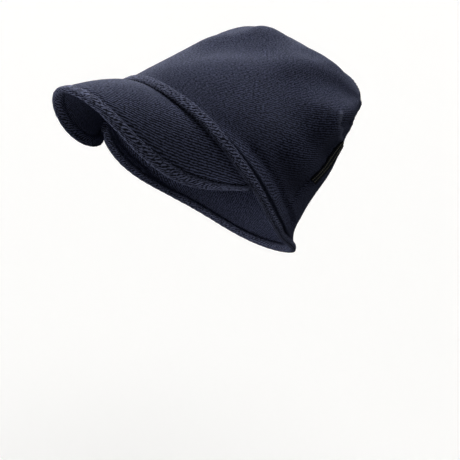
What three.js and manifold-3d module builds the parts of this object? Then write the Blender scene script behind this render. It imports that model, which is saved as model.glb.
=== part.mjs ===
// Peaked soft hat of heavy navy cotton twill, in the form it has when worn tipped back.
// A bag crown of two panels, joined by a seam over its top and down both sides, opens at a
// bound rim. A short arched peak, bound along its edge, hangs from the front of the rim.
// Millimetres, +Z up, peak towards -Y, wearer's left towards +X, origin at the rim's middle.

import * as THREE from 'three';
import { ParametricGeometry } from 'three/addons/geometries/ParametricGeometry.js';
import { mergeVertices } from 'three/addons/utils/BufferGeometryUtils.js';
import Module from 'manifold-3d';

const wasm = await Module();
wasm.setup();

// Hat as a whole
const TILT = 54.9;          // degrees the crown is tipped back from upright
const CLOTH = 1.6;          // thickness of the crown's cloth wall
const GAP = 0.3;            // clearance left between sewn pieces
const SEAM_Y = 30;          // plane of the seam between the two panels, behind the rim's middle

// Rim, seen along the crown's axis: an egg narrower in front, dipping at the sides
const EGG = -0.155;         // narrowing of the front, as a share of the half width
const SIDES = -0.042;       // fullness of the sides, as a share of the half width
const TEMPLES = -0.104;     // fullness ahead of the ears, as a share of the half width
const LEVEL = -2.8;         // mean level of the rim
const DIP = 9.7;            // rise of front and back and fall of the sides
const FLAT = -2.9;          // flattening of the rise in front and at the back

// Crown from rim to top seam: rise is the share of the way up, roll lowers the left side
const SECTIONS = [
  { rise: 0.00, height: 0, front: -96.3, back: 96.3, halfWidth: 83.9, roll: 0 },
  { rise: 0.20, height: 26, front: -86, back: 84, halfWidth: 74, roll: 0 },
  { rise: 0.42, height: 71, front: -64, back: 77, halfWidth: 72, roll: 2 },
  { rise: 0.62, height: 108, front: -42, back: 65, halfWidth: 64, roll: 5 },
  { rise: 0.79, height: 129, front: -10, back: 52, halfWidth: 61, roll: 9 },
  { rise: 0.92, height: 138, front: 13, back: 39, halfWidth: 57, roll: 12 },
  { rise: 1.00, height: 145, front: 30, back: 30, halfWidth: 53, roll: 13 },
];
const CORNER_DROP = 11;     // fall of the top seam at its two rounded corners
const CORNER_LATE = 5;      // how near the top the fall starts
const CORNER_TIGHT = 6;     // how near the corners it starts

// Soft folds: width and depth in mm, a ridge where depth is above zero, and a path of pairs of
// turn and rise, turn in degrees from the front towards the wearer's left
const FOLDS = {
  leftPleat: { width: 6, depth: 4, path: [[50, 0.06], [70, 0.082], [88, 0.09], [106, 0.084], [120, 0.06]] },
  rightPleat: { width: 7, depth: 3, path: [[-54, 0.055], [-70, 0.078], [-104, 0.08], [-118, 0.06]] },
  frontCrease: { width: 16, depth: -3.9, path: [[2, 0.385], [13, 0.445], [23, 0.526], [35, 0.68]] },
  topHollow: { width: 19, depth: -4.8, path: [[-7, 0.503], [11, 0.572], [14, 0.692]] },
  topRidge: { width: 11, depth: 2.7, path: [[-20, 0.442], [-6, 0.57], [-7, 0.64], [18, 0.74], [42, 0.75]] },
  leftCorner: { width: 19, depth: 6.6, path: [[83, 0.506], [92, 0.606], [93, 0.632]] },
  cornerRidge: { width: 15, depth: 2.8, path: [[69, 0.447], [81, 0.453], [91, 0.545]] },
  cornerBack: { width: 9, depth: 1.5, path: [[102, 0.6], [116, 0.56]] },
  rightCorner: { width: 20, depth: 3, path: [[-78, 0.6], [-72, 0.74]] },
  cornerValley: { width: 11, depth: -1.9, path: [[48, 0.448], [56, 0.566], [65, 0.648]] },
  leftHollow: { width: 12, depth: -3.6, path: [[106, 0.457], [91, 0.428], [81, 0.391]] },
  seamHollow: { width: 31, depth: -1.6, path: [[110, 0.387], [111, 0.459]] },
  sideRidge: { width: 14.6, depth: 3.6, path: [[64, 0.273], [89, 0.317]] },
  lowValley: { width: 7.4, depth: -2.9, path: [[77, 0.229], [106, 0.266]] },
  lowRidge: { width: 17, depth: 3.2, path: [[49, 0.194], [78, 0.229]] },
  frontSwell: { width: 14.7, depth: 1.3, path: [[32, 0.241], [48, 0.317]] },
  endHollow: { width: 9.8, depth: -4.4, path: [[112, 0.035], [127, 0.051], [140, 0.093]] },
  backHollow: { width: 18, depth: -4, path: [[172, 0.3], [190, 0.42]] },
};
const MM_PER_TURN = 1.35;   // mm round the wall that a degree of turn counts as
const MM_PER_RISE = 155;    // mm up the wall that the whole rise counts as
const TURN_START = -150;    // turn from which the turns of the folds are counted
const FOLD_LIFT = 80;       // degrees that a fold's push swings upwards by the top
const FOLD_FADE = 6;        // how late the folds fade out towards the top seam

// Rim binding: a bias strip folded over the edge of the cloth
const BINDING_RISE = 0.047; // share of the crown that the strip covers
const BINDING_THICK = 4.8;  // thickness of the strip across the wall
const BINDING_SQUARE = 2.4; // exponent of its rounded section

// Peak: half moon of twill, level at the middle and curling down and in at the sides
const PEAK_TURN = 70.5;     // degrees of rim on each side that carry the peak
const PEAK_REACH = 63.6;    // width at the middle
const PEAK_CURVE = 1.68;    // how long the middle stays wide
const PEAK_ROUND = 0.628;   // roundness of the outline towards its ends
const PEAK_DROOP = { middle: 49.3, side: 142.2, end: -51.6 }; // degrees below the rim's plane
const PEAK_THICK = 2.6;     // two layers of cloth
const PEAK_BOW = 2.5;       // upward bow between rim and edge
const PEAK_ROOT = 1.3;      // distance of the cloth from the rim binding
const PEAK_END = 0.955;     // share of the half outline that the cloth fills
const EDGE_WIDE = 9;        // width of the strip that binds the outline
const EDGE_THICK = 4.4;     // its thickness
const EDGE_SQUARE = 3;      // exponent of its rounded section
const EDGE_END = 0.983;     // share of the half outline that the strip follows

// Patch: a blank sewn rectangle on the back panel, along the left side seam, which lifts its edge
const PATCH = { low: 0.313, high: 0.505, behind: 2.8, wide: 12, thick: 1.1, clear: 0.6, lift: 0.7 };

// Facets
const OUTER = { slices: 78, stacks: 28 };
const INNER = { slices: 56, stacks: 17 };
const CROWDING = 1.3;       // how much closer the rows of facets lie near the rim
const PEAK_STEPS = 40;
const PEAK_ACROSS = 8;
const EDGE_STEPS = 48;
const STRIP_SIDES = 10;
const PATCH_STEPS = 8;
const PATCH_ACROSS = 4;
const SKIRT = 30;           // drop of the hollow below the wall, so that the bottom is open
const FAR = 600;            // size of the blocks that part the panels
const WELD = 1e-4;          // distance under which two corners are one

const rad = THREE.MathUtils.degToRad;
const columns = ['height', 'front', 'back', 'halfWidth', 'roll'];
const section = new THREE.CubicInterpolant(
  SECTIONS.map((row) => row.rise),
  SECTIONS.flatMap((row) => columns.map((name) => row[name])),
  columns.length,
);

// Push of all folds, in mm, at a turn and a rise
function foldPush(turn, rise) {
  const flat = ([t, r]) => new THREE.Vector2(t * MM_PER_TURN, r * MM_PER_RISE);
  const here = flat([turn, rise]);
  let push = 0;
  for (const { width, depth, path } of Object.values(FOLDS)) {
    const away = path.slice(1).map((end, k) => {
      const start = flat(path[k]);
      const run = flat(end).sub(start);
      const share = THREE.MathUtils.clamp(here.clone().sub(start).dot(run) / run.lengthSq(), 0, 1);
      return here.distanceTo(start.addScaledVector(run, share));
    });
    push += depth * Math.exp(-((Math.min(...away) / width) ** 2));
  }
  return push * (1 - rise ** FOLD_FADE);
}

// Point of the crown at a turn in degrees and a rise from 0 to 1, set inwards by inset
function crownPoint(turn, rise, inset = 0) {
  const [height, front, back, halfWidth, roll] = section.evaluate(rise);
  const angle = rad(turn);
  const near = 1 - rise;
  const halfDepth = rise < 1 ? (back - front) / 2 - inset : 0;
  const wave = (k) => Math.cos(k * angle);
  const shape = 1 + near * (EGG * wave(1) + SIDES * wave(2) + TEMPLES * wave(3));
  const corner = CORNER_DROP * rise ** CORNER_LATE * Math.sin(angle) ** CORNER_TIGHT;
  const level = height + near * (LEVEL + DIP * wave(2) + FLAT * wave(4)) - corner;
  const wrapped = THREE.MathUtils.euclideanModulo(turn - TURN_START, 360) + TURN_START;
  const push = foldPush(wrapped, rise);
  const lift = rad(FOLD_LIFT * rise);
  return new THREE.Vector3(
    (halfWidth - inset) * shape * Math.sin(angle) + push * Math.cos(lift) * Math.sin(angle),
    (front + back) / 2 - (halfDepth + push * Math.cos(lift)) * Math.cos(angle),
    level - roll * Math.sin(angle) - inset * rise * rise + push * Math.sin(lift),
  );
}

// Closed body without doubled corners, its faces pointing outwards
function closed(geometry) {
  geometry.deleteAttribute('normal');
  geometry.deleteAttribute('uv');
  const merged = mergeVertices(geometry, WELD);
  const at = (i) => new THREE.Vector3().fromBufferAttribute(merged.attributes.position, i);
  const faces = [];
  let volume = 0;
  for (let i = 0; i < merged.index.count; i += 3) {
    const [a, b, c] = [0, 1, 2].map((k) => merged.index.getX(i + k));
    if (a === b || b === c || c === a) continue;
    faces.push([a, b, c]);
    volume += at(a).dot(at(b).cross(at(c)));
  }
  merged.setIndex(faces.flatMap(([a, b, c]) => (volume > 0 ? [a, b, c] : [a, c, b])));
  return merged;
}

// Body swept through steps of a closed loop, ending in flat caps
function sweptBody(loopPoint, steps, sides) {
  const rows = steps + 3;
  return closed(new ParametricGeometry((around, along, target) => {
    const row = Math.round(along * rows);
    const step = THREE.MathUtils.clamp((row - 1) / steps, 0, 1);
    if (row > 0 && row < rows) {
      target.copy(loopPoint(step, around % 1));
      return;
    }
    target.set(0, 0, 0);
    for (let k = 0; k < sides; k++) target.addScaledVector(loopPoint(step, k / sides), 1 / sides);
  }, sides, rows));
}

// Solid for cutting, and back again
function solidOf(geometry) {
  return new wasm.Manifold(new wasm.Mesh({
    numProp: 3,
    vertProperties: new Float32Array(geometry.attributes.position.array),
    triVerts: new Uint32Array(geometry.index.array),
  }));
}

function geometryOf(solid) {
  const mesh = solid.getMesh();
  const geometry = new THREE.BufferGeometry();
  geometry.setAttribute('position', new THREE.BufferAttribute(mesh.vertProperties, mesh.numProp));
  geometry.setIndex(new THREE.BufferAttribute(mesh.triVerts, 1));
  geometry.computeVertexNormals();
  return geometry;
}

// Filled crown: a floor, an optional skirt below the wall, the wall, and the top seam
function crownFill({ slices, stacks }, inset, start, skirt) {
  return solidOf(closed(new ParametricGeometry((around, along, target) => {
    const row = Math.round(along * stacks);
    const share = Math.max(0, (row - 2) / (stacks - 2));
    const rise = THREE.MathUtils.lerp(start, 1, share ** CROWDING);
    if (row === 0) target.set(0, 0, -skirt);
    else target.copy(crownPoint((around % 1) * 360, rise, inset));
    if (row === 1) target.z -= skirt;
  }, slices, stacks)));
}

// Crown panels: the hollow bag, parted along the seam plane
const wallStart = BINDING_RISE + GAP / MM_PER_RISE;
const bag = crownFill(OUTER, 0, wallStart, 0).subtract(crownFill(INNER, CLOTH, wallStart, SKIRT));
const behind = new THREE.BoxGeometry(FAR, FAR, FAR).translate(0, SEAM_Y + FAR / 2 - GAP / 2, 0);
const before = new THREE.BoxGeometry(FAR, FAR, FAR).translate(0, SEAM_Y - FAR / 2 + GAP / 2, 0);
const crownFront = geometryOf(bag.subtract(solidOf(closed(behind))));
const crownBack = geometryOf(bag.subtract(solidOf(closed(before))));

// Directions at the rim: foot of the wall, up the wall, out of the hat
function rimFrame(turn) {
  const foot = crownPoint(turn, 0);
  const up = crownPoint(turn, BINDING_RISE).sub(foot);
  const tall = up.length();
  up.normalize();
  const along = crownPoint(turn + 1, 0).sub(crownPoint(turn - 1, 0)).normalize();
  const out = along.clone().cross(up).normalize();
  return { foot: foot.addScaledVector(out, -CLOTH / 2), up, out, tall };
}

// Rounded section of a folded strip, as shares of its half width and half thickness
function stripSection(around, square) {
  const angle = around * 2 * Math.PI;
  const round = (value) => Math.sign(value) * Math.abs(value) ** (2 / square);
  return [round(Math.cos(angle)), round(Math.sin(angle))];
}

const rimBinding = closed(new ParametricGeometry((around, along, target) => {
  const { foot, up, out, tall } = rimFrame((along % 1) * 360);
  const [high, thick] = stripSection(around % 1, BINDING_SQUARE);
  target.copy(foot).addScaledVector(up, (tall / 2) * (1 + high));
  target.addScaledVector(out, (BINDING_THICK / 2) * thick);
}, STRIP_SIDES, OUTER.slices));

// Place on the peak: side runs from -1 to 1 along the outline, reach is mm from the rim
function peakFrame(side) {
  const { foot } = rimFrame(side * PEAK_TURN);
  const along = crownPoint(side * PEAK_TURN + 1, 0).sub(crownPoint(side * PEAK_TURN - 1, 0));
  const out = new THREE.Vector3(along.y, -along.x, 0).normalize();
  const up = new THREE.Vector3(0, 0, 1);
  const droop = rad(PEAK_DROOP.middle + PEAK_DROOP.side * side ** 2 + PEAK_DROOP.end * side ** 4);
  const width = PEAK_REACH * (1 - Math.abs(side) ** PEAK_CURVE) ** PEAK_ROUND;
  return {
    foot,
    width,
    away: out.clone().multiplyScalar(Math.cos(droop)).addScaledVector(up, -Math.sin(droop)),
    above: out.clone().multiplyScalar(Math.sin(droop)).addScaledVector(up, Math.cos(droop)),
  };
}

// Width of the strip along the peak's edge, which narrows where the outline runs into the rim
function edgeWide(side) {
  return Math.min(EDGE_WIDE, peakFrame(side).width - PEAK_ROOT);
}

function peakPoint(side, reach, height) {
  const { foot, width, away, above } = peakFrame(side);
  const bow = PEAK_BOW * Math.sin(Math.PI * THREE.MathUtils.clamp(reach / width, 0, 1));
  return foot.clone().addScaledVector(away, reach).addScaledVector(above, height + bow);
}

// Cloth of the peak: out along the top, back along the underside
const peakSides = 2 * PEAK_ACROSS + 2;
const peak = sweptBody((step, around) => {
  const side = PEAK_END * (2 * step - 1);
  const corner = Math.round(around * peakSides) % peakSides;
  const top = corner <= PEAK_ACROSS;
  const share = (top ? corner : peakSides - 1 - corner) / PEAK_ACROSS;
  const end = peakFrame(side).width - edgeWide(side) - GAP;
  return peakPoint(side, PEAK_ROOT + (end - PEAK_ROOT) * share, (top ? 0.5 : -0.5) * PEAK_THICK);
}, PEAK_STEPS, peakSides);

const peakBinding = sweptBody((step, around) => {
  const side = EDGE_END * Math.sin((step - 0.5) * Math.PI);
  const [wide, thick] = stripSection(around, EDGE_SQUARE);
  const reach = peakFrame(side).width + (edgeWide(side) / 2) * (wide - 1);
  return peakPoint(side, reach, (EDGE_THICK / 2) * thick);
}, EDGE_STEPS, STRIP_SIDES);

// Patch: lies on the back panel, a little behind the seam
const patchSides = 2 * PATCH_ACROSS + 2;
const patch = sweptBody((step, around) => {
  const rise = PATCH.low + (PATCH.high - PATCH.low) * step;
  const corner = Math.round(around * patchSides) % patchSides;
  const top = corner <= PATCH_ACROSS;
  const share = (top ? corner : patchSides - 1 - corner) / PATCH_ACROSS;
  const [, front, back] = section.evaluate(rise);
  const y = SEAM_Y + PATCH.behind + share * PATCH.wide;
  const turn = 180 - THREE.MathUtils.radToDeg(Math.acos((2 * y - front - back) / (back - front)));
  const clear = PATCH.clear + PATCH.lift * (1 - share);
  return crownPoint(turn, rise, -(clear + (top ? PATCH.thick : 0)));
}, PATCH_STEPS, patchSides);

// Assembly: every piece in the crown's own frame, tipped back as one
const TWILL = { color: '#2e3242', roughness: 0.92, metalness: 0 };
const TAPE = { color: '#34384a', roughness: 0.9, metalness: 0 };
const LABEL = { color: '#15161a', roughness: 0.7, metalness: 0 };
const pieces = [
  ['crown_front', crownFront, TWILL],
  ['crown_back', crownBack, TWILL],
  ['rim_binding', rimBinding, TAPE],
  ['peak', peak, TWILL],
  ['peak_binding', peakBinding, TAPE],
  ['patch', patch, LABEL],
];

const tipped = new THREE.Group();
tipped.rotation.x = -rad(TILT);
for (const [name, geometry, look] of pieces) {
  const mesh = new THREE.Mesh(geometry, new THREE.MeshStandardMaterial(look));
  mesh.name = name;
  tipped.add(mesh);
}

const hat = new THREE.Group();
hat.add(tipped);

export default hat;
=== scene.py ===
"""Peaked soft hat of heavy navy cotton twill, in the form it has on the head, tipped back.

Metres, +Z up, peak towards -Y, wearer's left towards +X, origin at the middle of the rim.
"""

import functools
import math

import bmesh
import bpy
from mathutils import Matrix, Vector, noise


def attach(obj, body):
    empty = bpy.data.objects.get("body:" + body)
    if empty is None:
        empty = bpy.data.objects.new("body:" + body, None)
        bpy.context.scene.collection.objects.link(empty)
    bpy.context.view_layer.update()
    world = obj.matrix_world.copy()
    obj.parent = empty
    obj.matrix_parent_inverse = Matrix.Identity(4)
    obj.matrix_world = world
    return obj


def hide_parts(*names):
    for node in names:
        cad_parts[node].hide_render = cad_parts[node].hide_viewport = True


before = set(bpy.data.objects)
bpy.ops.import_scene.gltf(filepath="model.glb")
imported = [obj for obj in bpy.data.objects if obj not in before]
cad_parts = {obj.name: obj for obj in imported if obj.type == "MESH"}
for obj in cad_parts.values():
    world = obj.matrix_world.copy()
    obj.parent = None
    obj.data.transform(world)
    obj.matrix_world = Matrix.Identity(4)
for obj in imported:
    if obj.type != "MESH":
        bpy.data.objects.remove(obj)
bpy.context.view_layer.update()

# Front panel of the crown
# The large panel that wraps the front and both sides, of heavy unlined cotton twill.
# It is cut flat, sewn to the back panel over the top and down both sides, and slumps in soft folds.
MM = 0.001
TIPPED = Matrix.Rotation(math.radians(-54.9), 4, "X")  # the crown is tipped back from upright
AS_WORN = TIPPED @ Matrix.Scale(MM, 4)         # from mm with the crown's axis upright to the worn hat
CLOTH = 1.6                 # mm, thickness of the cloth
SEAM_Y = 30                 # mm behind the rim's middle, where the two panels meet
SEAM_BOW, SEAM_EVEN = 7, 0.33                  # mm that the seam bows forward below this rise, back above
SEAM_STRAIGHT = 4           # how late the bow ends, as an exponent of the rise
SEAM_TOP = 0.999            # rise at which the side seam runs into the top seam
SEAM_CLEAR = 0.02           # degrees of turn from each panel's edge to the seam's line
SECTIONS = (
    # rise, height, front, back, half width, roll of the crown from rim to top seam, in mm
    (0.00, 0, -96.3, 96.3, 83.9, 0),
    (0.20, 26, -86, 84, 74, 0),
    (0.42, 71, -64, 77, 72, 2),
    (0.62, 108, -42, 65, 64, 5),
    (0.79, 129, -10, 52, 61, 9),
    (0.92, 138, 13, 39, 57, 12),
    (1.00, 145, 30, 30, 53, 13),
)
EGG, SIDES, TEMPLES = -0.155, -0.042, -0.104   # shares of the half width: an egg, narrow in front
LEVEL, DIP, FLAT = -2.8, 9.7, -2.9             # mm: the rim rises in front and behind, dips at the sides
CORNER_DROP = 11            # mm that the top seam falls at its two corners
CORNER_LATE, CORNER_TIGHT = 5, 6               # how late in the rise and how close to the corners it falls
FOLDS = (
    # width mm, depth mm (ridges above zero, valleys below), sag mm towards the rim,
    # then turn and rise along the fold
    (3.8, 4.4, 5.0, (46, 0.046), (58, 0.072), (72, 0.097), (86, 0.107), (100, 0.101), (116, 0.082),
     (132, 0.065), (150, 0.042)),              # pleat over the rim on the wearer's left
    (4, 3.0, 2.0, (-50, 0.050), (-70, 0.090), (-100, 0.096), (-116, 0.070), (-128, 0.050)),   # on the right
    (16, -3.9, 0, (2, 0.385), (13, 0.445), (23, 0.526), (35, 0.680)),
    (19, -4.8, 0, (-7, 0.503), (11, 0.572), (14, 0.692)),
    (11, 2.7, 0, (-20, 0.442), (-11, 0.504), (-6, 0.574), (-7, 0.640), (18, 0.740), (42, 0.755)),
    (16.5, 8.2, 0, (83, 0.506), (92, 0.600), (93, 0.620)),   # bulge under the crown's left corner
    (10.7, 4.3, 0, (69, 0.447), (81, 0.453), (91, 0.545)),
    (20, 3.0, 0, (-78, 0.600), (-72, 0.740)),
    (11, -1.9, 0, (48, 0.448), (56, 0.566), (65, 0.648)),
    (9, 2.4, 0, (104, 0.620), (118, 0.600)),
    (2.6, -3.2, 0, (87, 0.485), (101, 0.575), (110, 0.615)),   # narrow tuck beside the side seam
    # sharp crease above the patch, with a painted highlight along it
    (1.5, 1.3, 0, (81, 0.495), (83, 0.472), (91.5, 0.492), (99, 0.510), (107, 0.522), (117, 0.523)),
    (8.3, -3.6, 0, (106, 0.457), (91, 0.428), (81, 0.391)),
    (31, -1.6, 0, (110, 0.387), (111, 0.459)),
    (14.6, 3.6, 0, (64, 0.273), (89, 0.317)),
    (7.4, -2.9, 0, (77, 0.229), (106, 0.266)),
    (3.2, -2.6, 0, (62, 0.133), (69, 0.148), (78, 0.162), (90, 0.174), (107, 0.160), (121, 0.125)),
    (17, 3.2, 0, (49, 0.194), (78, 0.229)),
    (14.7, 1.3, 0, (32, 0.241), (48, 0.317)),
    (9.8, -4.4, 0, (112, 0.035), (127, 0.051), (140, 0.093)),
    (18, -4.0, 0, (172, 0.300), (190, 0.420)),   # hollow across the back
)
MM_PER_TURN, MM_PER_RISE = 1.35, 155           # what a degree of turn and the whole rise count as
TURN_START = -150           # turn from which the turns of the folds are counted
FOLD_LIFT = 80              # degrees that a fold's push is tipped up at the top seam
FOLD_FADE = 6               # how late the folds end there, as an exponent of the rise
PLEAT_FADE = 0.7            # how soon a sagging pleat reaches its full depth from its ends
SHARP_WIDE = 2              # mm, a ridge narrower than this gets a painted highlight
SHADED_NARROW, SHADED_WIDE = 5, 10                 # mm, valleys of this width are painted darker, as shade
RIDGE_HIGH, RIDGE_PALE = 120, 0.045            # mm of ridge for a whole paling, and the most it pales
CREASE_HIGHLIGHT, CREASE_SHADE = 0.6, 0.45           # shares of painted highlight on sharp ridges and of painted shade in narrow valleys
CUT_PER_TURN, CUT_PER_RISE = 1.42, 205         # mm of flat cloth for a degree of turn and the whole rise
WALL_START = 0.015          # rise at which the cloth starts, inside the rim's binding
UNEVEN = ((0.35, 24), (0.12, 8))               # mm: height and length of the cloth's own swells
SEAM_EASE = 6               # mm from a seam within which the seam holds the cloth even
ROLL_DEEP, ROLL_WIDE = 1.5, 1.7                # mm: how the cloth rolls into a seam
PUCKER_DEEP, PUCKER_LONG, PUCKER_WIDE = 0.35, 9, 8   # mm: the puckers along a seam
PUCKER_START = 2            # mm from the seam at which they are full
PUCKER_DRIFT, PUCKER_DRIFT_LONG = 3, 20        # radians by which their spacing drifts, over so many mm
CROWN_MIDDLE = Vector((0, 25, 75))             # mm, middle of the hollow, which the cloth faces away from

secants = [
    [(b - a) / (after[0] - before[0]) for a, b in zip(before[1:], after[1:])]
    for before, after in zip(SECTIONS, SECTIONS[1:])
]
slopes = [secants[0]]
slopes += [[(a + b) / 2 for a, b in zip(*pair)] for pair in zip(secants, secants[1:])]
slopes.append(secants[-1])


@functools.cache
def section(rise):
    """Height, front, back, half width and roll at a rise, on a smooth curve through the sections."""
    k = 0
    while k < len(SECTIONS) - 2 and rise > SECTIONS[k + 1][0]:
        k += 1
    low, high = SECTIONS[k], SECTIONS[k + 1]
    run = high[0] - low[0]
    t = (rise - low[0]) / run
    return [
        (1 + 2 * t) * (1 - t) ** 2 * a + t * (1 - t) ** 2 * run * p
        + t * t * (3 - 2 * t) * b + t * t * (t - 1) * run * q
        for a, b, p, q in zip(low[1:], high[1:], slopes[k], slopes[k + 1])
    ]


@functools.cache
def fold_push(turn, rise):
    """How far all folds push the cloth outwards and let it sag towards the rim, in mm, and the share of
    painted light on its creases: a painted highlight above zero on a very narrow ridge, painted shade below
    zero in a narrow valley."""
    turn = (turn - TURN_START) % 360 + TURN_START
    push = drop = crease_highlight_and_shade = 0.0
    for width, depth, sag, *path in FOLDS:
        nearest, along = math.inf, 0.0
        for k, ((turn_a, rise_a), (turn_b, rise_b)) in enumerate(zip(path, path[1:])):
            run_x = (turn_b - turn_a) * MM_PER_TURN
            run_y = (rise_b - rise_a) * MM_PER_RISE
            here_x = (turn - turn_a) * MM_PER_TURN
            here_y = (rise - rise_a) * MM_PER_RISE
            share = (here_x * run_x + here_y * run_y) / (run_x * run_x + run_y * run_y)
            share = min(max(share, 0.0), 1.0)
            away = math.hypot(here_x - share * run_x, here_y - share * run_y)
            if away < nearest:
                nearest, along = away, (k + share) / (len(path) - 1)
        here = math.exp(-(nearest / width) ** 2) * (1 - rise ** FOLD_FADE)
        if sag:
            here *= math.sin(math.pi * along) ** PLEAT_FADE
        push += depth * here
        drop += sag * here
        # a ridge narrower than SHARP_WIDE gets a painted highlight, a valley of the middle widths painted
        # shade
        if width < SHARP_WIDE:
            crease_highlight_and_shade += here
        elif depth < 0 and SHADED_NARROW < width < SHADED_WIDE:
            crease_highlight_and_shade -= here
    return push, drop, crease_highlight_and_shade


def crown_point(turn, rise, inset=0.0):
    """Place on the crown in mm, its axis upright: turn runs from the front to the wearer's left."""
    height, front, back, half_width, roll = section(rise)
    angle = math.radians(turn)
    near = 1 - rise
    half_depth = (back - front) / 2 - inset if rise < 1 else 0.0
    shape = EGG * math.cos(angle) + SIDES * math.cos(2 * angle) + TEMPLES * math.cos(3 * angle)
    level = LEVEL + DIP * math.cos(2 * angle) + FLAT * math.cos(4 * angle)
    corner = CORNER_DROP * rise ** CORNER_LATE * math.sin(angle) ** CORNER_TIGHT
    push, drop, _ = fold_push(turn, rise)
    lift = math.radians(FOLD_LIFT * rise)
    return Vector((
        ((half_width - inset) * (1 + near * shape) + push * math.cos(lift)) * math.sin(angle),
        (front + back) / 2 - (half_depth + push * math.cos(lift)) * math.cos(angle),
        height + near * level - corner - roll * math.sin(angle) - inset * rise * rise
        + push * math.sin(lift) - drop,
    ))


@functools.cache
def seam_turn(rise, behind=0.0):
    """Turn of the side seam at a rise, or of a line so many mm behind it."""
    rise = min(rise, SEAM_TOP)
    _, front, back, _, _ = section(rise)
    bow = SEAM_BOW * math.sin(2 * math.pi * (rise - SEAM_EVEN)) * (1 - rise ** SEAM_STRAIGHT)
    y = SEAM_Y + bow + behind
    return math.degrees(math.acos(max((front + back - 2 * y) / (back - front), -1.0)))


def from_front(turn):
    """Degrees of turn from the front, either way round."""
    return abs((turn + 180) % 360 - 180)


def crowded(share, more=0.55):
    """A share from 0 to 1 with its steps closer together at both ends."""
    return share - more * math.sin(2 * math.pi * share) / (2 * math.pi)


def cloth(columns, rows, place, cut, wear_and_painted_light=None):
    """Cloth as a flat slab that keeps its cut in mm as UV, put in place. Depth is 0 on its face and 1 on
    its back. The share it is given pales it above zero, by wear and painted highlights, and darkens it
    below zero, as painted shade."""
    slab = bmesh.new()
    flat = slab.loops.layers.uv.new("cut")
    wear = slab.verts.layers.float.new("wear_and_painted_light")
    bmesh.ops.create_grid(slab, x_segments=columns, y_segments=rows, size=0.5)
    grown = bmesh.ops.extrude_face_region(slab, geom=slab.faces[:], use_keep_orig=True)["geom"]
    face_side = [part for part in grown if isinstance(part, bmesh.types.BMVert)]
    bmesh.ops.translate(slab, verts=slab.verts, vec=(0.5, 0.5, 1))
    bmesh.ops.translate(slab, verts=face_side, vec=(0, 0, -1))
    bmesh.ops.reverse_faces(slab, faces=slab.faces)
    for face in slab.faces:
        for corner in face.loops:
            corner[flat].uv = cut(*corner.vert.co.xy)
    for v in slab.verts:
        across, up, depth = v.co
        v.co = place(across, up, depth)
        v[wear] = wear_and_painted_light(across, up) if wear_and_painted_light else 0.0
    bmesh.ops.transform(slab, matrix=AS_WORN, verts=slab.verts)
    bmesh.ops.recalc_face_normals(slab, faces=slab.faces)
    return slab


def make_piece(name, body, material):
    """An object from a finished body."""
    mesh = bpy.data.meshes.new(name)
    body.to_mesh(mesh)
    body.free()
    mesh.shade_smooth()
    mesh.materials.append(material)
    piece = bpy.data.objects.new(name, mesh)
    bpy.context.scene.collection.objects.link(piece)
    return piece


def srgb(hex_colour):
    """Linear colour of an sRGB hex value."""
    parts = [int(hex_colour[i:i + 2], 16) / 255 for i in (1, 3, 5)]
    linear = [c / 12.92 if c <= 0.04045 else ((c + 0.055) / 1.055) ** 2.4 for c in parts]
    return (*linear, 1.0)


SHARE, VALUE_A, VALUE_B, COLOUR_A, COLOUR_B = 0, 2, 3, 6, 7   # inputs of a mix, which share their names
MIXED_VALUE, MIXED_COLOUR = 0, 2               # its outputs
WAVE_UNIT = 2 * math.pi / 20                   # scale at which a wave pattern has one band in a unit


def add_node(tree, kind, inputs, **settings):
    """A shader node with its settings, its inputs set to values or linked to other nodes' outputs."""
    made = tree.nodes.new("ShaderNode" + kind)
    for name, value in settings.items():
        setattr(made, name, value)
    for name, value in inputs.items():
        if isinstance(value, bpy.types.NodeSocket):
            tree.links.new(value, made.inputs[name])
        else:
            made.inputs[name].default_value = value
    return made


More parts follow.
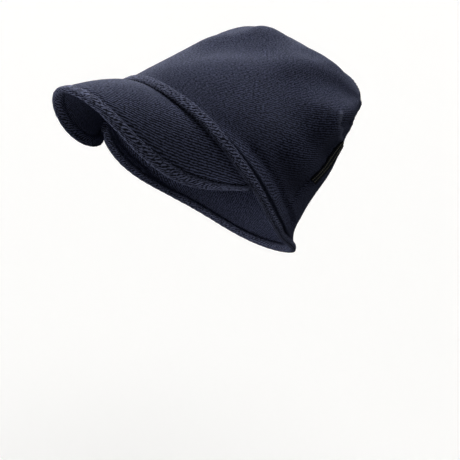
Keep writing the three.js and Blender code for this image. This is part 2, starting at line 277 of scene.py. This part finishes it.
def woven_twill(name, rib, groove, wear_and_painted_light, lean, rib_pitch, slubby):
    """Piece-dyed cotton twill: matt and slightly downy, with slanting ribs, slubby yarn and uneven dye.
    The ribs lean by that many degrees, and slubs break them up by that share. Real ribs are under 1 mm
    apart and lower than these: drawn wider and higher, so that they show."""
    rib_high, yarn_size, yarn_long, dye_size = 1.0, 0.8, 2, 38.0   # mm, but the length in yarn sizes
    material = bpy.data.materials.new(name)
    material.use_nodes = True
    tree = material.node_tree
    tree.nodes.clear()
    cut = add_node(tree, "UVMap", {}, uv_map="cut").outputs["UV"]
    turned = add_node(tree, "Mapping", {
        "Vector": cut, "Rotation": (0, 0, -math.radians(lean)),
    }).outputs["Vector"]
    ribs = add_node(tree, "TexWave", {
        "Vector": turned, "Scale": WAVE_UNIT / rib_pitch, "Distortion": 1.0,
        "Detail": 2.0, "Detail Scale": 2.2,
    }, bands_direction="Y").outputs["Fac"]
    drawn = add_node(tree, "Mapping", {
        "Vector": turned, "Scale": (1 / yarn_long, 1, 1),
    }).outputs["Vector"]
    slub = add_node(tree, "TexNoise", {
        "Vector": drawn, "Scale": 1 / yarn_size, "Detail": 2.0,
    }).outputs["Fac"]
    yarn = add_node(tree, "MapRange", {
        "Value": slub, "From Min": 0.40, "From Max": 0.60,
    }).outputs["Result"]
    dye = add_node(tree, "TexNoise", {
        "Vector": cut, "Scale": 1 / dye_size, "Detail": 3.0,
    }).outputs["Fac"]
    crossed = add_node(tree, "Mix", {
        SHARE: slubby, VALUE_A: ribs, VALUE_B: yarn,
    }).outputs[MIXED_VALUE]
    weave = add_node(tree, "MapRange", {
        "Value": crossed, "From Min": 0.38, "From Max": 0.62,
    }).outputs["Result"]
    shade = add_node(tree, "Mix", {
        SHARE: weave, COLOUR_A: srgb(groove), COLOUR_B: srgb(rib),
    }, data_type="RGBA").outputs[MIXED_COLOUR]
    # the attribute pales the cloth above zero, by wear and painted highlights, and darkens it to the groove
    # colour below zero, as painted shade
    painted_light_and_wear = add_node(tree, "Attribute", {}, attribute_name="wear_and_painted_light").outputs["Fac"]
    faded = add_node(tree, "MapRange", {
        "Value": dye, "From Min": 0.35, "From Max": 0.75, "To Max": 0.045,
    }).outputs["Result"]
    pale = add_node(tree, "Math", {0: painted_light_and_wear, 1: faded}, use_clamp=True).outputs["Value"]
    paled = add_node(tree, "Mix", {
        SHARE: pale, COLOUR_A: shade, COLOUR_B: srgb(wear_and_painted_light),
    }, data_type="RGBA").outputs[MIXED_COLOUR]
    dark = add_node(tree, "Math", {
        0: painted_light_and_wear, 1: -1.0,
    }, operation="MULTIPLY", use_clamp=True).outputs["Value"]
    colour = add_node(tree, "Mix", {
        SHARE: dark, COLOUR_A: paled, COLOUR_B: srgb(groove),
    }, data_type="RGBA").outputs[MIXED_COLOUR]
    bump = add_node(tree, "Bump", {"Strength": 1.0, "Distance": rib_high * MM, "Height": weave})
    rough = add_node(tree, "MapRange", {
        "Value": yarn, "To Min": 0.8, "To Max": 0.98,
    }).outputs["Result"]
    shader = add_node(tree, "BsdfPrincipled", {
        "Base Color": colour, "Roughness": rough, "Normal": bump.outputs["Normal"],
        "Specular IOR Level": 0.12, "Sheen Weight": 0.1, "Sheen Roughness": 0.6,
        "Sheen Tint": srgb("#8493c4"),
    })
    add_node(tree, "OutputMaterial", {"Surface": shader.outputs["BSDF"]})
    return material


# Navy twill: pale rib tops over near-black grooves, which the eye takes together as a soft navy
cotton_twill = woven_twill("cotton_twill", "#686e8f", "#181b29", "#9aa0bc", 41, 1.6, 0.52)


def unevenness(flat, swells):
    """Height of the cloth's own swells at a place on its cut, in mm."""
    return sum(high * noise.noise(flat / long) for high, long in swells)


def crown_cloth(turn, rise, depth):
    """Place on a panel: rolled into the seams, puckered along them and slightly uneven."""
    from_side_seam = abs(seam_turn(rise) - from_front(turn)) * CUT_PER_TURN
    from_top_seam = (1 - rise) * CUT_PER_RISE
    flat = Vector((turn * CUT_PER_TURN, rise * CUT_PER_RISE, 0))
    push = unevenness(flat, UNEVEN)
    push *= 1 - math.exp(-(min(from_side_seam, from_top_seam) / SEAM_EASE) ** 2)
    drift = PUCKER_DRIFT * noise.noise(flat / PUCKER_DRIFT_LONG)
    for away, along in ((from_side_seam, flat.y), (from_top_seam, flat.x)):
        ripple = math.sin(2 * math.pi * along / PUCKER_LONG + drift)
        pucker = PUCKER_DEEP * ripple * math.exp(-(away / PUCKER_WIDE) ** 2)
        push -= ROLL_DEEP * math.exp(-(away / ROLL_WIDE) ** 2)
        push += pucker * min(away / PUCKER_START, 1)
    spot = crown_point(turn, rise, CLOTH * depth)
    return spot + (spot - CROWN_MIDDLE).normalized() * push


@functools.cache
def rise_at(up):
    """Rise of a row of the cloth."""
    return min(WALL_START + (1 - WALL_START) * crowded(up), 1.0)


def panel_wear_and_painted_light(turn, rise):
    """Paling of the cloth where a fold stands out and wears pale, with a painted highlight on the narrowest
    creases, or below zero painted shade in narrow valleys.
    """
    push, _, crease_highlight_and_shade = fold_push(turn, rise)
    crease = CREASE_HIGHLIGHT if crease_highlight_and_shade > 0 else CREASE_SHADE
    return min(max(push / RIDGE_HIGH, 0.0), RIDGE_PALE) + crease * crease_highlight_and_shade


def crown_panel(name, turn_at, columns, rows):
    """A panel of the crown, from the turn at each share of its width and height."""
    return make_piece(name, cloth(
        columns, rows,
        place=lambda across, up, depth: crown_cloth(turn_at(across, up), rise_at(up), depth),
        cut=lambda across, up: (CUT_PER_TURN * turn_at(across, up), CUT_PER_RISE * rise_at(up)),
        wear_and_painted_light=lambda across, up: panel_wear_and_painted_light(turn_at(across, up), rise_at(up)),
    ), cotton_twill)


def front_turn(across, up):
    """Turn of a spot on the front panel, which ends at the seams."""
    return (2 * crowded(across) - 1) * (seam_turn(rise_at(up)) - SEAM_CLEAR)


front_panel = crown_panel("front_panel", front_turn, columns=200, rows=230)
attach(front_panel, "root")
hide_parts("crown_front")

# Back panel of the crown
# The narrower panel behind, of the same twill. It hangs slack between the side seams,
# with a shallow hollow across it where the crown slumps.


def back_turn(across, up):
    """Turn of a spot on the back panel."""
    start = seam_turn(rise_at(up)) + SEAM_CLEAR
    return start + crowded(across) * (360 - 2 * start)


back_panel = crown_panel("back_panel", back_turn, columns=150, rows=120)
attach(back_panel, "root")
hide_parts("crown_back")

# Binding of the rim
# A bias-cut strip of the same twill, folded over the raw edge of the crown all the way round
# and sewn through, which gives a firm rounded hem.
BINDING_RISE = 0.047        # share of the crown that the strip covers
BINDING_THICK = 4.8         # mm across the wall
BINDING_SQUARE = 3.0        # exponent of the rounded section
TAPE = 1.0                  # mm, thickness of the strip
MOUTH = math.radians(19)    # half opening of the fold, where the cloth goes in
BINDING_LONG = 582          # mm, once round
BINDING_CUT = 20            # mm, width of the strip before it is folded
FRONT_BELOW = 3.6           # mm that it reaches lower in front, over the root of the peak
FRONT_TURN, SIDE_TURN = 60, 78                 # turns between which it comes back up
SWELL_LONG = 6.5            # mm from swell to swell along a sewn strip
SWELL_DRIFT, SWELL_DRIFT_LONG = 5, 14          # radians by which their spacing drifts, over so many mm
SWELL_FINE = 3              # how many times finer the strip's small unevenness is than that drift
RIM_SLACK = 0.1             # mm, height of the swells
FOLD_SHADE, FOLD_WIDE = 0.7, 0.1                # the lower fold is painted darker, as shade, over this share of its width

# Bias tape: the same twill pulled on the slant, with closer and paler ribs that cross the strip
bias_tape = woven_twill("bias_twill_tape", "#868cae", "#131521", "#9aa0bc", 26, 1.25, 0.5)


@functools.cache
def rim_frame(turn):
    """Foot of the wall's middle, the directions up the wall and outwards, and the strip's reach below
    and above that foot."""
    foot = crown_point(turn, 0)
    up = crown_point(turn, BINDING_RISE) - foot
    along = (crown_point(turn + 1, 0) - crown_point(turn - 1, 0)).normalized()
    tall = up.length
    ahead = (SIDE_TURN - from_front(turn)) / (SIDE_TURN - FRONT_TURN)
    ahead = min(max(ahead, 0.0), 1.0)
    below = FRONT_BELOW * ahead * ahead * (3 - 2 * ahead)
    up.normalize()
    out = along.cross(up).normalized()
    return foot - out * CLOTH / 2, up, out, below, tall


def strip_section(angle, square):
    """Rounded section of a folded strip, in shares of its half width and half thickness."""
    return [math.copysign(abs(c) ** (2 / square), c) for c in (math.cos(angle), math.sin(angle))]


def strip_slack(along, deep):
    """Unevenness of a sewn strip, which swells between its stitches, in mm."""
    drift = Vector((along / SWELL_DRIFT_LONG, deep, 0))
    swell = math.sin(2 * math.pi * along / SWELL_LONG + SWELL_DRIFT * noise.noise(drift))
    return deep * (swell + noise.noise(SWELL_FINE * drift))


def rim_strip_point(across, up, depth):
    """Place on the rim's strip: once round from the back, and from its inner lip to its outer one."""
    foot, upward, out, below, tall = rim_frame(180 + 360 * across)
    half = (tall + below) / 2
    high, thick = strip_section(MOUTH + (1 - up) * (2 * math.pi - 2 * MOUTH), BINDING_SQUARE)
    slack = strip_slack(BINDING_LONG * across, RIM_SLACK)
    return (foot + upward * (half - below + (half - TAPE * depth + slack) * high)
            + out * (BINDING_THICK / 2 - TAPE * depth + slack) * thick)


# The strip's lower fold is painted darker, as shade.
rim_strip = make_piece("rim_strip", cloth(
    columns=420, rows=26, place=rim_strip_point,
    cut=lambda across, up: (BINDING_LONG * across, BINDING_CUT * up),
    wear_and_painted_light=lambda across, up: -FOLD_SHADE * math.exp(-((up - 0.5) / FOLD_WIDE) ** 2),
), bias_tape)
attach(rim_strip, "root")
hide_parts("rim_binding")

# Stitches of the rim
# One row of dark cotton thread, sewn through the binding all the way round, close above its
# lower fold. In front the same row holds the peak. Its dark colour is partly painted shade in the needle
# holes.
STITCH_GAP, STITCH_LONG, STITCH_THICK = 2.6, 1.7, 0.8   # mm from stitch to stitch, and of each
STITCH_ANGLE = math.radians(150)               # where the row lies on the strip's section
STITCH_STEP = 0.001         # share of a row that gives a stitch its direction


def sewing_thread(name, dark, light):
    """Two-ply cotton thread: matt, with the plies twisted round each other as fine slanting bands."""
    twist_pitch, ply_high = 0.8, 0.1           # mm
    material = bpy.data.materials.new(name)
    material.use_nodes = True
    tree = material.node_tree
    tree.nodes.clear()
    spot = add_node(tree, "TexCoord", {}).outputs["Object"]
    twist = add_node(tree, "TexWave", {
        "Vector": spot, "Scale": WAVE_UNIT / (twist_pitch * MM), "Distortion": 1.0,
    }, bands_direction="DIAGONAL").outputs["Fac"]
    colour = add_node(tree, "Mix", {
        SHARE: twist, COLOUR_A: srgb(dark), COLOUR_B: srgb(light),
    }, data_type="RGBA").outputs[MIXED_COLOUR]
    bump = add_node(tree, "Bump", {"Strength": 0.5, "Distance": ply_high * MM, "Height": twist})
    shader = add_node(tree, "BsdfPrincipled", {
        "Base Color": colour, "Roughness": 0.8, "Normal": bump.outputs["Normal"],
        "Specular IOR Level": 0.2,
    })
    add_node(tree, "OutputMaterial", {"Surface": shader.outputs["BSDF"]})
    return material


def even_shares(point, spacing, steps=2400):
    """Shares of a path at which places lie evenly spaced, in mm."""
    shares, ahead, last = [], spacing / 2, point(0.0)[0]
    for k in range(1, steps):
        here = point(k / steps)[0]
        ahead -= (here - last).length
        last = here
        if ahead <= 0:
            shares.append(k / steps)
            ahead += spacing
    return shares


def sewn_row(point, gap=STITCH_GAP, thick=STITCH_THICK):
    """A row of stitches along a path, which gives a place and the direction out of the cloth there."""
    row = bmesh.new()
    for share in even_shares(point, gap):
        middle, out = point(share)
        along = (point(share + STITCH_STEP)[0] - middle).normalized()
        side = out.cross(along).normalized()
        placed = Matrix((along, side, along.cross(side))).transposed().to_4x4()
        placed.translation = middle
        bmesh.ops.create_uvsphere(
            row, u_segments=6, v_segments=4, radius=0.5,
            matrix=AS_WORN @ placed @ Matrix.Diagonal((STITCH_LONG, thick, thick, 1)))
    return row


def rim_stitch(share):
    """Place of the rim's row of stitches, once round from the back."""
    foot, upward, out, below, tall = rim_frame(180 + 360 * share)
    high, thick = strip_section(STITCH_ANGLE, BINDING_SQUARE)
    middle = foot + upward * ((tall + below) / 2 * (1 + high) - below)
    return middle + out * (BINDING_THICK / 2) * thick, out


# Its dark colour is partly the thread's own and partly painted shade in the needle holes
dark_thread_and_hole_shade = sewing_thread("dark_cotton_thread_and_hole_shade", "#14161f", "#262a39")
rim_stitches = make_piece("rim_stitches", sewn_row(rim_stitch), dark_thread_and_hole_shade)
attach(rim_stitches, "root")

# Peak
# A half moon of two layers of the same twill, sewn to the front of the rim. As worn it is about
# level at the middle, and it curls down and in towards its ends.
PEAK_TURN = 70.5            # degrees of rim on each side that carry the peak
PEAK_REACH = 63.6           # mm wide at the middle
PEAK_CURVE, PEAK_ROUND = 1.68, 0.628           # exponents of its outline
DROOP_MIDDLE, DROOP_SIDE, DROOP_END = 49.3, 142.2, -51.6    # degrees below the rim's plane
PEAK_THICK = 2.6            # mm, two layers
PEAK_BOW = 2.5              # mm of upward bow between rim and edge
PEAK_UNEVEN = ((0.3, 24), (0.1, 8))            # mm: height and length of the cloth's own swells
PEAK_ROOT = -1.2            # mm from the rim's foot to the start of the cloth, in under the binding
ROOT_DROP, ROOT_FADE = 2.0, 8                  # mm that it dips there, and over which the dip ends
ROOT_FULL = 25              # mm, it dips less where the peak is narrower than this
ROOT_SHADE, ROOT_WIDE = 1.0, 5.6                # painted shade along its join with the rim, so many mm wide
PEAK_END = 0.965            # share of the half outline that the cloth fills
EDGE_WIDE, EDGE_THICK = 8.4, 4.4               # mm, the strip along its edge
EDGE_TUCK = 1.2             # mm that its ends run in under the rim
GROOVE_DEEP, GROOVE_WIDE = 1.0, 1.8            # mm: the cloth is drawn in along that strip
PEAK_HALF_LONG = 99         # mm of rim on each side

# Peak twill: the same cloth, held firm by its two layers, so its ribs show more clearly
peak_twill = woven_twill("peak_cotton_twill", "#6c7293", "#14161f", "#9aa0bc", 41, 1.6, 0.44)


@functools.cache
def peak_frame(side):
    """Foot at the rim, width there, and the directions away from the rim and above the cloth."""
    turn = side * PEAK_TURN
    foot = rim_frame(turn)[0]
    along = crown_point(turn + 1, 0) - crown_point(turn - 1, 0)
    out = Vector((along.y, -along.x, 0)).normalized()
    upward = Vector((0, 0, 1))
    droop = math.radians(DROOP_MIDDLE + DROOP_SIDE * side ** 2 + DROOP_END * side ** 4)
    width = PEAK_REACH * (1 - abs(side) ** PEAK_CURVE) ** PEAK_ROUND
    away = out * math.cos(droop) - upward * math.sin(droop)
    above = out * math.sin(droop) + upward * math.cos(droop)
    return foot, width, away, above


def edge_wide(side):
    """Width of the strip along the peak's edge, a little less where its ends run in under the rim."""
    return min(EDGE_WIDE, peak_frame(side)[1] + EDGE_TUCK)


def peak_point(side, reach, height):
    """Place on the peak, so many mm from the rim and above the middle of its cloth."""
    foot, width, away, above = peak_frame(side)
    bow = PEAK_BOW * math.sin(math.pi * min(max(reach / width, 0.0), 1.0))
    return foot + away * reach + above * (height + bow)


def peak_side(across):
    """Share of the half outline, from -1 to 1, at a share of the cloth's length."""
    return PEAK_END * (2 * across - 1)


def peak_place(across, up, depth):
    """Place on the peak, from its edge to the rim."""
    side = peak_side(across)
    width = peak_frame(side)[1]
    wide = edge_wide(side)
    lip = width - wide
    reach = PEAK_ROOT + (max(lip, 0.0) + wide / 2 - PEAK_ROOT) * (1 - up)
    slack = unevenness(Vector((PEAK_HALF_LONG * side, reach, 0)), PEAK_UNEVEN)
    drawn_in = GROOVE_DEEP * math.exp(-((reach - lip) / GROOVE_WIDE) ** 2)
    dip = ROOT_DROP * min(width / ROOT_FULL, 1.0) * math.exp(-(max(reach, 0.0) / ROOT_FADE) ** 2)
    return peak_point(side, reach, (PEAK_THICK - 2 * drawn_in) * (0.5 - depth) + slack - dip)


def from_root(across, up):
    """Distance from the rim on the peak's cut, in mm."""
    return peak_frame(peak_side(across))[1] * (1 - up)


# The peak is painted darker along its join with the rim, as shade.
peak_cloth = make_piece("peak_cloth", cloth(
    columns=150, rows=50, place=peak_place,
    cut=lambda across, up: (PEAK_HALF_LONG * (2 * across - 1), -from_root(across, up)),
    wear_and_painted_light=lambda across, up: -ROOT_SHADE * math.exp(-(from_root(across, up) / ROOT_WIDE) ** 2),
), peak_twill)
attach(peak_cloth, "root")
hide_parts("peak")

# Binding of the peak
# The same bias strip, folded over the raw outer edge of the peak's two layers and sewn through by a
# row of the same dark thread, whose colour is partly painted shade in the needle holes. Its ends run in
# under the rim's binding.
EDGE_END = 0.990            # share of the half outline that the strip follows
EDGE_LONG = 300             # mm along the outline
EDGE_CUT = 18               # mm, width of the strip before it is folded
EDGE_MOUTH = math.radians(163)                 # from the fold to each lip, round its section
EDGE_SQUARE = 3             # exponent of its rounded section
EDGE_SLACK = 0.08           # mm, height of its swells
EDGE_PALE, EDGE_PALE_WIDE = 0.02, 0.08         # the fold is rubbed pale, over this share of its width
EDGE_ROW_END = 0.94         # share of the half outline that its stitches follow
EDGE_ROW_AWAY, EDGE_ROW_SUNK = 0.5, 0.8        # mm from the strip's lip, and below the face of the cloth


def edge_strip_point(across, up, depth):
    """Place on the peak's strip: along the outline, and from its lower lip round to its upper one."""
    side = EDGE_END * math.sin((across - 0.5) * math.pi)
    wide, thick = strip_section((2 * up - 1) * EDGE_MOUTH, EDGE_SQUARE)
    half = edge_wide(side) / 2
    slack = strip_slack(EDGE_LONG * across, EDGE_SLACK)
    reach = peak_frame(side)[1] - half + (half - TAPE * depth + slack) * wide
    return peak_point(side, reach, (EDGE_THICK / 2 - TAPE * depth + slack) * thick)


edge_strip = make_piece("peak_strip", cloth(
    columns=280, rows=24, place=edge_strip_point,
    cut=lambda across, up: (EDGE_LONG * across, EDGE_CUT * up),
    wear_and_painted_light=lambda across, up: EDGE_PALE * math.exp(-((up - 0.5) / EDGE_PALE_WIDE) ** 2),
), bias_tape)
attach(edge_strip, "root")
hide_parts("peak_binding")


def edge_stitch(share):
    """Place of the row of stitches in the groove along the strip."""
    side = EDGE_ROW_END * math.sin((share - 0.5) * math.pi)
    _, width, _, above = peak_frame(side)
    lip = width - edge_wide(side)
    return peak_point(side, lip - EDGE_ROW_AWAY, PEAK_THICK / 2 - EDGE_ROW_SUNK), above


edge_stitches = make_piece("peak_stitches", sewn_row(edge_stitch), dark_thread_and_hole_shade)
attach(edge_stitches, "root")

# Patch
# A blank dark woven label, laid flat over the wearer's left side seam and on to the back panel.
# Two rows of olive cotton thread beside its near edge hold it down.
PATCH_LOW, PATCH_HIGH = 0.315, 0.517           # rise of its two ends
PATCH_WIDE, PATCH_LONG, PATCH_THICK = 12, 45, 0.8   # mm
PATCH_CLEAR, PATCH_LIFT = 0.6, 0.1             # mm: it lies on the cloth, its near edge lifted by the seam
SEAM_OVER = 3.4             # mm that this edge reaches over the seam
PATCH_ROWS = (("patch_stitches_near", 2.0), ("patch_stitches_far", 6.6))   # mm in from this edge
PATCH_STITCH_GAP, PATCH_STITCH_THICK = 1.9, 0.8   # mm

# Woven label: close, even, near-black yarn, so its face is plain and dark beside the navy
woven_label = woven_twill("woven_label", "#17181b", "#0b0c0e", "#1d1e22", 90, 1.0, 0.5)


def patch_point(across, up, height):
    """Place on the patch, so many mm from its near edge and above its underside."""
    rise = PATCH_LOW + (PATCH_HIGH - PATCH_LOW) * up
    clear = PATCH_CLEAR + PATCH_LIFT * (1 - across / PATCH_WIDE) + height
    return crown_point(seam_turn(rise, across - SEAM_OVER), rise, -clear)


def patch_place(across, up, depth):
    """Place on the patch, from its near edge backwards."""
    return patch_point(PATCH_WIDE * across, up, PATCH_THICK * (1 - depth))


def patch_stitch(inward, share):
    """Place of a row of stitches so many mm in from the patch's near edge."""
    spot = patch_point(inward, share, PATCH_THICK)
    return spot, (spot - CROWN_MIDDLE).normalized()


patch = make_piece("patch_label", cloth(
    columns=40, rows=70, place=patch_place,
    cut=lambda across, up: (PATCH_WIDE * across, PATCH_LONG * up),
), woven_label)
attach(patch, "root")
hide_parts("patch")

olive_thread = sewing_thread("olive_cotton_thread", "#807d68", "#bab69e")
for row_name, inward in PATCH_ROWS:
    row_path = functools.partial(patch_stitch, inward)
    row_body = sewn_row(row_path, PATCH_STITCH_GAP, PATCH_STITCH_THICK)
    patch_row = make_piece(row_name, row_body, olive_thread)
    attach(patch_row, "root")

# Floor, backdrop and light
# A plain pale floor of matt paper well below the hat, and a pale lit paper backdrop all round.
# A broad soft light from the wearer's right, a weaker one behind, the glow that the floor throws back
# from in front, and a weak even sky.
FLOOR_DROP, FLOOR_HALF = 0.24, 6               # m
BACKDROP_ROUND, BACKDROP_TALL = 4, 12          # m
FLOOR_GLOW, BACKDROP_GLOW, SKY_GLOW = 0.13, 0.95, 0.085
BROAD = math.radians(70)    # how wide each light is, seen from the hat
LIGHTS = (
    # name, azimuth and elevation in degrees, strength
    ("soft_key", -125, 30, 3.8),
    ("back_light", 177, 55, 0.63),
    ("floor_glow", -20, -25, 1.2),
)


def studio_paper(name, body, base, glow):
    """Matt paper with a glow of its own. All of the hat's light comes from the lamps and the sky, so the
    paper neither lights the hat nor shades it."""
    paper = bpy.data.materials.new(name + "_matt_paper")
    paper.use_nodes = True
    shader = paper.node_tree.nodes["Principled BSDF"]
    shader.inputs["Base Color"].default_value = srgb(base)
    shader.inputs["Emission Color"].default_value = srgb("#ffffff")
    shader.inputs["Emission Strength"].default_value = glow
    shader.inputs["Roughness"].default_value = 0.9
    sheet = make_piece(name, body, paper)
    sheet.visible_diffuse = False
    sheet.visible_glossy = False
    sheet.visible_shadow = False


def direction(azimuth, elevation):
    """Direction from the hat, azimuth from the front towards the wearer's left, both in radians."""
    level = math.cos(elevation)
    return Vector((math.sin(azimuth) * level, -math.cos(azimuth) * level, math.sin(elevation)))


floor_body = bmesh.new()
bmesh.ops.create_grid(floor_body, x_segments=1, y_segments=1, size=FLOOR_HALF)
bmesh.ops.translate(floor_body, verts=floor_body.verts, vec=(0, 0, -FLOOR_DROP))
studio_paper("floor", floor_body, "#fbfaf8", FLOOR_GLOW)
backdrop_body = bmesh.new()
bmesh.ops.create_cone(
    backdrop_body, cap_ends=True, segments=96,
    radius1=BACKDROP_ROUND, radius2=BACKDROP_ROUND, depth=BACKDROP_TALL)
studio_paper("backdrop", backdrop_body, "#000000", BACKDROP_GLOW)  # lit from behind, so only its glow shows

sky = bpy.data.worlds.new("studio")
bpy.context.scene.world = sky
sky.use_nodes = True
background = sky.node_tree.nodes["Background"]
background.inputs["Color"].default_value = srgb("#ffffff")
background.inputs["Strength"].default_value = SKY_GLOW
for name, azimuth, elevation, strength in LIGHTS:
    lamp = bpy.data.lights.new(name, "SUN")
    lamp.energy = strength
    lamp.angle = BROAD
    source = direction(math.radians(azimuth), math.radians(elevation))
    lamp_object = bpy.data.objects.new(name, lamp)
    lamp_object.rotation_euler = (-source).to_track_quat("-Z", "Y").to_euler()
    bpy.context.scene.collection.objects.link(lamp_object)
bpy.context.scene.view_settings.view_transform = "Standard"

# Camera
# At the wearer's left front, a little above, far enough off for a long lens.
AZIMUTH, ELEVATION = math.radians(46.755), math.radians(23.548)
DISTANCE = 0.9              # m
AIM_RIGHT, AIM_UP = 0.021947, -0.043049        # m that the view is moved off the middle of the rim
LENS, FRAME = 94.45, 36     # mm, on a square frame
towards = direction(AZIMUTH, ELEVATION)
rightwards = Vector((math.cos(AZIMUTH), math.sin(AZIMUTH), 0))
upwards = towards.cross(rightwards)
camera = bpy.data.objects.new("camera", bpy.data.cameras.new("camera"))
camera.data.lens = LENS
camera.data.sensor_width = FRAME
camera.location = rightwards * AIM_RIGHT + upwards * AIM_UP + towards * DISTANCE
camera.rotation_euler = (-towards).to_track_quat("-Z", "Y").to_euler()
bpy.context.scene.collection.objects.link(camera)
bpy.context.scene.camera = camera
